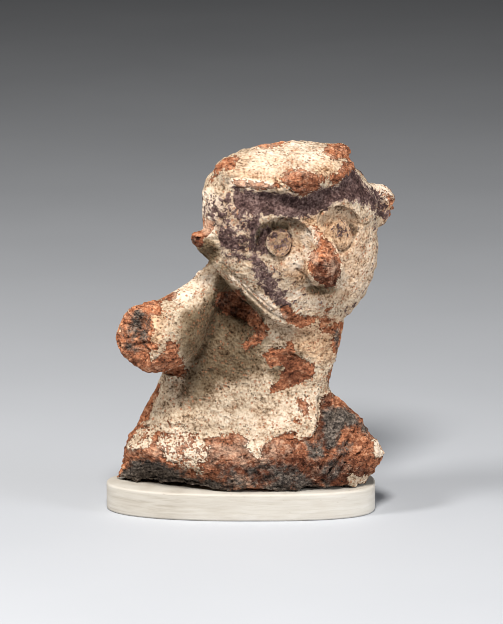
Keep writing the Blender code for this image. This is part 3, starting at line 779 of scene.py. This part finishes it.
def evaluated(mesh, add_modifiers):
    """A new mesh: this one with modifiers applied."""
    holder = placed("holder", mesh)
    add_modifiers(holder)
    graph = bpy.context.evaluated_depsgraph_get()
    made = bpy.data.meshes.new_from_object(holder.evaluated_get(graph))
    bpy.data.objects.remove(holder)
    return made


def fine_skin(holder):
    remesh = holder.modifiers.new("fine_skin", "REMESH")
    remesh.mode = "VOXEL"
    remesh.voxel_size = FINE_VOXEL
    soften = holder.modifiers.new("no_facets", "SMOOTH")
    soften.factor = 0.5
    soften.iterations = FINE_SOFTENING_PASSES


def thin_out(holder):
    fewer = holder.modifiers.new("fewer_faces", "DECIMATE")
    fewer.ratio = min(1.0, FINE_TRIANGLES / (2 * len(holder.data.polygons)))


def cut_foot(mesh, level):
    bm = bmesh.new()
    bm.from_mesh(mesh)
    cut = bmesh.ops.bisect_plane(
        bm, geom=bm.verts[:] + bm.edges[:] + bm.faces[:], plane_co=(0.0, 0.0, level),
        plane_no=(0.0, 0.0, 1.0), clear_inner=True,
    )
    rim = [item for item in cut["geom_cut"] if isinstance(item, bmesh.types.BMEdge)]
    bmesh.ops.contextual_create(bm, geom=rim)
    bm.to_mesh(mesh)
    bm.free()
    mesh.update()


def figurine():
    """The CAD figurine's skin made finer, broken and pitted, cut level where it rests on the base."""
    mesh = evaluated(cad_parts["figurine"].data.copy(), fine_skin)
    skin = Skin(mesh)
    points = skin.points + skin.normals * (relief(skin, fields(skin)) * MM)[:, None]
    low, high = (np.array(corner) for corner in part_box("figurine"))
    points[:, 2] -= smoothstep(low[2] + FOOT_TUCK_HEIGHT, low[2], points[:, 2]) * FOOT_TUCK
    points = np.clip(points, low + (BOX_INSET, BOX_INSET, -FOOT_OVERSHOOT), high - BOX_INSET)
    mesh.vertices.foreach_set("co", points.ravel())
    mesh.update()
    mesh = evaluated(mesh, thin_out)
    cut_foot(mesh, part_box("display_base")[1][2] + SEAT_CLEARANCE)
    for name, values in fields(Skin(mesh)).items():
        layer = mesh.attributes.new(name, "FLOAT", "POINT")
        layer.data.foreach_set("value", values.astype(np.float32))
    mesh.shade_smooth()
    mesh.materials.clear()
    mesh.materials.append(fired_clay())
    piece = placed("figurine_skin", mesh)
    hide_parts("figurine")
    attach(piece, "root")


class Graph:
    """A material's node tree, with short calls for the nodes that the materials share."""

    def __init__(self, name):
        self.material = bpy.data.materials.new(name)
        self.material.use_nodes = True
        self.tree = self.material.node_tree
        self.tree.nodes.clear()
        self.place = self.node("ShaderNodeTexCoord", {})["Object"]

    def node(self, kind, inputs, **settings):
        """A new node's outputs. Its inputs are sockets or plain values, by name or number."""
        made = self.tree.nodes.new(kind)
        for name, value in settings.items():
            setattr(made, name, value)
        for name, value in inputs.items():
            if isinstance(value, bpy.types.NodeSocket):
                self.tree.links.new(value, made.inputs[name])
            else:
                made.inputs[name].default_value = value
        return made.outputs

    def attribute(self, name):
        return self.node("ShaderNodeAttribute", {}, attribute_name=name)["Fac"]

    def stretched(self, scale):
        return self.node("ShaderNodeMapping", {"Vector": self.place, "Scale": scale})["Vector"]

    def noise(self, size, detail=3.0, roughness=0.6, distortion=0.0, place=None):
        """Noise with features about size millimetres apart."""
        return self.node("ShaderNodeTexNoise", {
            "Vector": place or self.place, "Scale": 1.0 / (size * MM), "Detail": detail,
            "Roughness": roughness, "Distortion": distortion,
        })["Fac"]

    def cells(self, size):
        """Distance from the nearest middle of cells about size millimetres wide, as a share of that."""
        inputs = {"Vector": self.place, "Scale": 1.0 / (size * MM)}
        return self.node("ShaderNodeTexVoronoi", inputs)["Distance"]

    def math(self, operation, *values):
        return self.node("ShaderNodeMath", dict(enumerate(values)), operation=operation)["Value"]

    def times(self, first, second):
        return self.math("MULTIPLY", first, second)

    def add(self, *values):
        total = values[0]
        for value in values[1:]:
            total = self.math("ADD", total, value)
        return total

    def swing(self, value, amount):
        """A noise value turned into plus or minus half an amount."""
        return self.math("MULTIPLY_ADD", value, amount, -amount / 2.0)

    def step(self, value, low, high, bottom=0.0, top=1.0):
        """From bottom at low to top at high, smoothly."""
        return self.node("ShaderNodeMapRange", {
            "Value": value, "From Min": low, "From Max": high, "To Min": bottom, "To Max": top,
        }, interpolation_type="SMOOTHSTEP")["Result"]

    def mix(self, share, first, second, blend="MIX"):
        """A colour with a share of another, which is a socket or linear red, green and blue."""
        if isinstance(second, tuple):
            second = (*second, 1.0)
        inputs = {"Factor": share, "A": first, "B": second}
        return self.node("ShaderNodeMix", inputs, data_type="RGBA", blend_type=blend)["Result"]

    def tint(self, share, colour, factors):
        return self.mix(share, colour, factors, "MULTIPLY")

    def ramp(self, value, stops):
        made = self.tree.nodes.new("ShaderNodeValToRGB")
        self.tree.links.new(value, made.inputs["Fac"])
        elements = made.color_ramp.elements
        while len(elements) < len(stops):
            elements.new(0.5)
        for element, (position, colour) in zip(elements, stops):
            element.position = position
            element.color = (*colour, 1.0)
        return made.outputs["Color"]

    def finish(self, colour, roughness, height, specular, height_unit=MM):
        """Ends in a Principled shader; height counts in the unit, which is in metres."""
        bump = self.node("ShaderNodeBump", {"Strength": 1.0, "Distance": height_unit, "Height": height})
        shader = self.node("ShaderNodeBsdfPrincipled", {
            "Base Color": colour, "Roughness": roughness, "Specular IOR Level": specular,
            "Normal": bump["Normal"],
        })
        self.node("ShaderNodeOutputMaterial", {"Surface": shader["BSDF"]})
        return self.material


# Colours are linear red, green and blue. A ramp has its stops' places before them.
CLAY_RAMP = [
    (0.10, (0.090, 0.030, 0.015)),
    (0.40, (0.250, 0.088, 0.042)),
    (0.60, (0.375, 0.145, 0.071)),
    (0.90, (0.570, 0.300, 0.175)),
]
CORE_RAMP = [
    (0.15, (0.018, 0.014, 0.012)),
    (0.50, (0.088, 0.070, 0.057)),
    (0.85, (0.240, 0.195, 0.160)),
]
CREAM_RAMP = [
    (0.00, (0.085, 0.050, 0.028)),
    (0.18, (0.275, 0.184, 0.114)),
    (0.45, (0.490, 0.368, 0.256)),
    (0.85, (0.650, 0.534, 0.396)),
]
WHITE_SLIP_AND_HIGHLIGHT_RAMP = [
    (0.00, (0.300, 0.165, 0.095)),
    (0.15, (0.560, 0.400, 0.270)),
    (0.42, (0.740, 0.590, 0.450)),
    (0.85, (0.830, 0.720, 0.590)),
]
PURPLE_RAMP = [
    (0.10, (0.024, 0.012, 0.011)),
    (0.50, (0.080, 0.045, 0.040)),
    (0.90, (0.215, 0.140, 0.123)),
]
BOARD_RAMP = [
    (0.30, (0.440, 0.395, 0.330)),
    (0.45, (0.550, 0.510, 0.445)),
    (0.58, (0.600, 0.565, 0.505)),
    (0.72, (0.650, 0.620, 0.570)),
]
FLOOR_RAMP = [(0.3, (0.510, 0.530, 0.565)), (0.7, (0.525, 0.545, 0.580))]
CLAY_PIT = (0.040, 0.017, 0.010)
CLAY_DUST_AND_HIGHLIGHT = (0.660, 0.440, 0.310)
SHADOW_BY_SLIP_EDGE = (0.070, 0.030, 0.018)
FLECK_CLAY = (0.400, 0.200, 0.115)
PURPLE_WASH = (0.270, 0.176, 0.155)
DARK_SPECK = (0.085, 0.052, 0.038)
DARK_HOLE = (0.035, 0.021, 0.014)
BOARD_SCUFF = (0.36, 0.30, 0.24)

# Factors that a colour is multiplied by.
BRIGHTER_AND_HIGHLIGHT = (1.30, 1.28, 1.22)
DULLER_AND_SHADE = (0.36, 0.31, 0.31)
BLUSH = (1.06, 0.90, 0.78)
DIRT_AND_SHADE = (0.50, 0.47, 0.42)
STAIN = (0.78, 0.62, 0.50)
GRIME_AND_SHADE = (0.48, 0.45, 0.40)


def chipped(g, slip_edge):
    """Flecks where slip has chipped off, thickest by its edges, and dark specks."""
    clump = g.add(g.attribute("fleck"), g.swing(g.noise(5.0), 2.4), g.step(slip_edge, 2.2, 0.2))
    chips = g.step(g.add(g.noise(2.2), g.times(clump, 0.06)), 0.50, 0.60)
    dots = g.step(g.add(g.noise(3.0, 2.0), g.times(clump, 0.04)), 0.54, 0.64)
    flecks = g.times(g.step(g.cells(1.3), 0.42, 0.26), chips)
    specks = g.times(g.step(g.cells(1.0), 0.32, 0.20), dots)
    return flecks, specks


def bare_clay(g, slip_edge, pores):
    """Orange clay, brighter, duller or dusty in places, with painted highlight and painted shade, and its
    grey core.
    """
    coarse = g.noise(2.4, place=g.stretched((1.0, 1.0, 1.4)))
    fine = g.noise(0.8, 1.0)
    colour = g.ramp(g.add(g.swing(coarse, 1.8), g.swing(fine, 0.8), 0.5), CLAY_RAMP)
    colour = g.mix(g.times(g.times(pores, g.step(coarse, 0.56, 0.46)), 0.9), colour, CLAY_PIT)
    tone = g.add(g.attribute("warm"), g.swing(g.noise(6.0, roughness=0.55), 2.2))
    # The warm spots brighten or dull the clay: on the nose, ear, arm, hollow and seam this is painted
    # highlight and painted shade.
    colour = g.tint(g.step(tone, 0.0, 1.0), colour, BRIGHTER_AND_HIGHLIGHT)
    colour = g.tint(g.step(tone, 0.1, -1.4), colour, DULLER_AND_SHADE)
    # Pale spots dust the clay; on the nose's upper left this is a painted highlight.
    dust_and_highlight = g.add(g.attribute("pale"), g.swing(g.noise(4.0, 4.0), 2.6), g.swing(fine, 1.0))
    colour = g.mix(g.step(dust_and_highlight, 0.0, 1.3, 0.0, 0.75), colour, CLAY_DUST_AND_HIGHLIGHT)
    # Painted shadow on the clay just beside the slip's raised edge.
    colour = g.mix(g.step(slip_edge, -0.60, -0.15, 0.0, 0.35), colour, SHADOW_BY_SLIP_EDGE)
    core_edge = g.add(g.attribute("core"), g.swing(g.noise(4.0, 4.0), 6.0), g.swing(g.noise(1.2, 2.0), 3.0))
    core = g.ramp(g.add(g.swing(fine, 1.1), g.swing(coarse, 1.3), 0.5), CORE_RAMP)
    return g.mix(g.step(core_edge, -1.2, 1.2), colour, core)


def painted_slip(g, speckle, flecks, specks):
    """Cream slip, white, stained or dirty in places, with painted highlight and painted shade, under worn
    purple paint.
    """
    colour = g.ramp(speckle, CREAM_RAMP)
    colour = g.tint(g.step(g.attribute("warm"), 0.1, 0.9), colour, BLUSH)
    pale = g.add(g.attribute("pale"), g.swing(g.noise(5.0, roughness=0.55), 1.0))
    # Pale spots whiten the slip; beside the nose this is a painted highlight, and on the face painted light.
    colour = g.mix(g.step(pale, 0.1, 0.9), colour, g.ramp(speckle, WHITE_SLIP_AND_HIGHLIGHT_RAMP))
    stain = g.add(g.swing(g.noise(7.0), 1.8), g.swing(g.noise(2.2, 2.0), 1.0))
    # Darker where stains gather, and where pale spots fall under 0, which is dirt and painted shade.
    colour = g.tint(g.step(g.add(pale, stain), 0.00, -1.40), colour, DIRT_AND_SHADE)
    colour = g.tint(g.step(stain, 0.10, 0.60, 0.0, 0.8), colour, STAIN)
    colour = g.mix(flecks, colour, FLECK_CLAY)
    # Much darker where pale spots fall far under 0: painted shade in the hollow, under the ear and nose,
    # round the sockets, on the arm and chest, and a darker left pellet.
    grime_and_shade = g.add(g.attribute("pale"), g.swing(stain, 0.6))
    colour = g.tint(g.step(grime_and_shade, -0.6, -2.6), colour, GRIME_AND_SHADE)
    paint = g.attribute("paint")
    wash = g.add(paint, g.swing(g.noise(3.0), 2.0))
    colour = g.mix(g.step(wash, -0.5, 0.8, 0.0, 0.45), colour, PURPLE_WASH)
    paint_edge = g.add(paint, g.swing(g.noise(2.4, roughness=0.65), 6.5), g.swing(g.noise(0.9, 1.0), 3.0))
    colour = g.mix(g.step(paint_edge, -0.25, 0.35), colour, g.ramp(speckle, PURPLE_RAMP))
    return g.mix(g.times(specks, 0.70), colour, DARK_SPECK)


def fired_clay():
    """Orange clay under cream slip and purple paint, which have worn off in patches."""
    g = Graph("slipped_terracotta")
    slip_edge = g.add(g.attribute("slip"), g.swing(g.noise(3.2), 3.6), g.swing(g.noise(0.9, 1.0), 2.6))
    slip = g.step(slip_edge, -0.10, 0.10)
    flecks, specks = chipped(g, slip_edge)
    pores = g.step(g.cells(1.5), 0.26, 0.16)
    speckle = g.add(g.swing(g.noise(0.9, 1.0), 1.4), g.swing(g.noise(4.0), 1.4), 0.5)
    colour = g.mix(slip, bare_clay(g, slip_edge, pores), painted_slip(g, speckle, flecks, specks))
    # Painted shade in hollows and painted highlight on ridges, from how far each point lies under its
    # neighbours.
    cavity = g.attribute("cavity")
    shade = g.step(cavity, 0.02, 0.32, 1.0, 0.30)
    ridge_highlight = g.step(cavity, -0.02, -0.22, 1.0, 1.22)
    colour = g.tint(1.0, colour, g.times(shade, ridge_highlight))
    holes = g.times(pores, g.step(g.noise(2.6, 2.0), 0.51, 0.58))
    colour = g.mix(g.times(holes, 0.65), colour, DARK_HOLE)

    dimples = g.noise(0.9, 1.0, 0.5)
    clay_height = g.add(g.swing(g.noise(1.3, 1.0, 0.5), 1.1), g.swing(dimples, 0.7), -0.4)
    slip_height = g.add(g.swing(g.noise(1.6, 1.0, 0.5), 1.0), g.swing(dimples, 0.5))
    height = g.math("MULTIPLY_ADD", slip, g.math("SUBTRACT", slip_height, clay_height), clay_height)
    height = g.math("SUBTRACT", height, g.times(g.add(flecks, specks), 0.14))
    height = g.math("MULTIPLY_ADD", holes, -0.30, height)
    return g.finish(colour, g.step(speckle, 0.1, 0.9, 0.95, 0.80), height, 0.15)


# The base: how round its edges and how uneven its sides are, in metres, with features this many millimetres
# apart, and the shares of its height and width where its rings lie.
BASE_ROUND = 0.0009
BASE_ROUND_STEPS = 5
BASE_OUTLINE_STEPS = 6
BASE_WAVER = 0.00018
BASE_WAVER_CELL = 9.0
BASE_SIDE_SHARE = 0.49
BASE_SIDE_RINGS = (0.3, 0.5, 0.7)
BASE_TOP_RINGS = (0.85, 0.55, 0.2)


def smooth_ring(corners, steps):
    """A closed smooth line through corner points."""
    p0, p1, p2, p3 = (np.roll(corners, shift, axis=0)[:, None] for shift in (1, 0, -1, -2))
    t = np.arange(steps)[:, None] / steps
    curve = 0.5 * (
        2.0 * p1 + (p2 - p0) * t + (2.0 * p0 - 5.0 * p1 + 4.0 * p2 - p3) * t * t
        + (3.0 * p1 - p0 - 3.0 * p2 + p3) * t**3
    )
    return curve.reshape(-1, 2)


def base_corners():
    """The plan of the CAD base, one point a side, going round."""
    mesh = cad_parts["display_base"].data
    points = np.array([vertex.co for vertex in mesh.vertices])
    low, high = points.min(axis=0), points.max(axis=0)
    middle = (low + high) / 2.0
    widest = points[np.abs(points[:, 2] - middle[2]) < (high[2] - low[2]) * BASE_SIDE_SHARE]
    plan = np.unique(np.round(widest[:, :2], 6), axis=0)
    order = np.argsort(np.arctan2(plan[:, 1] - middle[1], plan[:, 0] - middle[0]))
    return plan[order], low[2], high[2]


def at_height(ring, height):
    return np.column_stack((ring, np.full(len(ring), height)))


def base_rings():
    """The base's points, ring by ring from its underside's edge up and in over its top."""
    plan, bottom, top = base_corners()
    ring = smooth_ring(plan, BASE_OUTLINE_STEPS)
    ring = np.clip(ring, plan.min(axis=0), plan.max(axis=0))
    middle = (ring.min(axis=0) + ring.max(axis=0)) / 2.0
    along = np.roll(ring, -1, axis=0) - np.roll(ring, 1, axis=0)
    outward = np.column_stack((along[:, 1], -along[:, 0]))
    outward /= np.linalg.norm(outward, axis=1)[:, None]
    arc = [math.pi / 2.0 * step / BASE_ROUND_STEPS for step in range(BASE_ROUND_STEPS + 1)]
    profile = [(BASE_ROUND * (1.0 - math.sin(a)), bottom + BASE_ROUND * (1.0 - math.cos(a))) for a in arc]
    profile += [(0.0, bottom + (top - bottom) * share) for share in BASE_SIDE_RINGS]
    profile += [(BASE_ROUND * (1.0 - math.cos(a)), top - BASE_ROUND * (1.0 - math.sin(a))) for a in arc]
    rings = []
    for inset, height in profile:
        waver = 0.5 + 0.5 * layered_noise(at_height(ring, height) / MM, BASE_WAVER_CELL, SEED + 60)
        rings.append(at_height(ring - outward * (inset + BASE_WAVER * waver)[:, None], height))
    for share in BASE_TOP_RINGS:
        rings.append(at_height(middle + (rings[-1][:, :2] - middle) * share, top))
    return rings


def display_base():
    """The low base with rounded edges, as wide and as high as the CAD one."""
    bm = bmesh.new()
    stack = [[bm.verts.new(point) for point in ring] for ring in base_rings()]
    for lower, upper in zip(stack, stack[1:]):
        for i in range(len(lower)):
            j = (i + 1) % len(lower)
            bm.faces.new((lower[i], lower[j], upper[j], upper[i]))
    bm.faces.new(list(reversed(stack[0])))
    bm.faces.new(stack[-1])
    bmesh.ops.recalc_face_normals(bm, faces=bm.faces)
    mesh = bpy.data.meshes.new("display_board")
    bm.to_mesh(mesh)
    bm.free()
    mesh.shade_smooth()
    mesh.materials.append(painted_board())
    piece = placed("display_board", mesh)
    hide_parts("display_base")
    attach(piece, "root")


def painted_board():
    """Off-white brushed paint with small scuffs."""
    g = Graph("painted_board")
    strokes = g.noise(1.1, 4.0, distortion=0.4, place=g.stretched((0.10, 0.10, 1.0)))
    broad = g.noise(14.0, roughness=0.5, place=g.stretched((0.4, 0.4, 1.0)))
    colour = g.ramp(g.add(g.swing(strokes, 0.6), g.swing(broad, 0.5), 0.5), BOARD_RAMP)
    scuffs = g.step(g.noise(1.4, 5.0, 0.65), 0.66, 0.72)
    colour = g.mix(g.times(scuffs, 0.45), colour, BOARD_SCUFF)
    height = g.add(g.swing(strokes, 0.10), g.times(scuffs, -0.06))
    return g.finish(colour, g.step(strokes, 0.3, 0.7, 0.42, 0.62), height, 0.4)


# The studio, in metres, lit by its lamps alone: each one's place, width, watts and colour.
FLOOR_HALF = 5.0
FLOOR_STEPS = 8
FLOOR_BUMP = 0.00001
LAMP_TARGET = (0.0, 0.0, 0.07)
LAMPS = {
    "key": ((-0.046, -0.521, 0.740), 0.22, 8.6, (1.0, 0.97, 0.93)),
    "left": ((-0.590, -0.275, 0.616), 0.20, 4.6, (1.0, 0.98, 0.95)),
    "fill": ((0.75, -0.35, 0.25), 0.35, 3.9, (0.95, 0.97, 1.0)),
}
WORLD_STRENGTH = 0.0
CLIP_START = 0.05
CLIP_END = 50.0
PIXEL_FILTER = 0.9


def studio_floor():
    mesh = bpy.data.meshes.new("studio_floor")
    bm = bmesh.new()
    bmesh.ops.create_grid(bm, x_segments=FLOOR_STEPS, y_segments=FLOOR_STEPS, size=FLOOR_HALF)
    bm.to_mesh(mesh)
    bm.free()
    g = Graph("studio_floor")
    cloud = g.noise(120.0, roughness=0.55)
    colour = g.ramp(cloud, FLOOR_RAMP)
    roughness = g.step(cloud, 0.3, 0.7, 0.75, 0.85)
    mesh.materials.append(g.finish(colour, roughness, g.noise(2.0, 2.0, 0.55), 0.2, FLOOR_BUMP))
    floor = placed("studio_floor", mesh)


def studio_lights():
    for name, (place, size, power, colour) in LAMPS.items():
        data = bpy.data.lights.new(name, "AREA")
        data.shape = "DISK"
        data.size = size
        data.energy = power
        data.color = colour
        light = placed(name, data)
        light.location = place
        light.rotation_mode = "QUATERNION"
        light.rotation_quaternion = (Vector(LAMP_TARGET) - Vector(place)).to_track_quat("-Z", "Y")
    world = bpy.data.worlds.new("studio")
    world.use_nodes = True
    world.node_tree.nodes["Background"].inputs["Strength"].default_value = WORLD_STRENGTH
    bpy.context.scene.world = world


def camera():
    data = bpy.data.cameras.new("camera")
    data.sensor_fit = "AUTO"
    data.sensor_width = SENSOR
    data.lens = SENSOR * CAMERA_DISTANCE / (IMAGE_HEIGHT * PIXEL)
    data.clip_start = CLIP_START
    data.clip_end = CLIP_END
    made = placed("camera", data)
    made.location = CAMERA
    made.rotation_mode = "QUATERNION"
    made.rotation_quaternion = Vector(-VIEW_BACK).to_track_quat("-Z", "Y")
    bpy.context.scene.camera = made


bpy.context.scene.view_settings.view_transform = "Standard"
bpy.context.scene.cycles.filter_width = PIXEL_FILTER
camera()
studio_lights()
studio_floor()
display_base()
figurine()
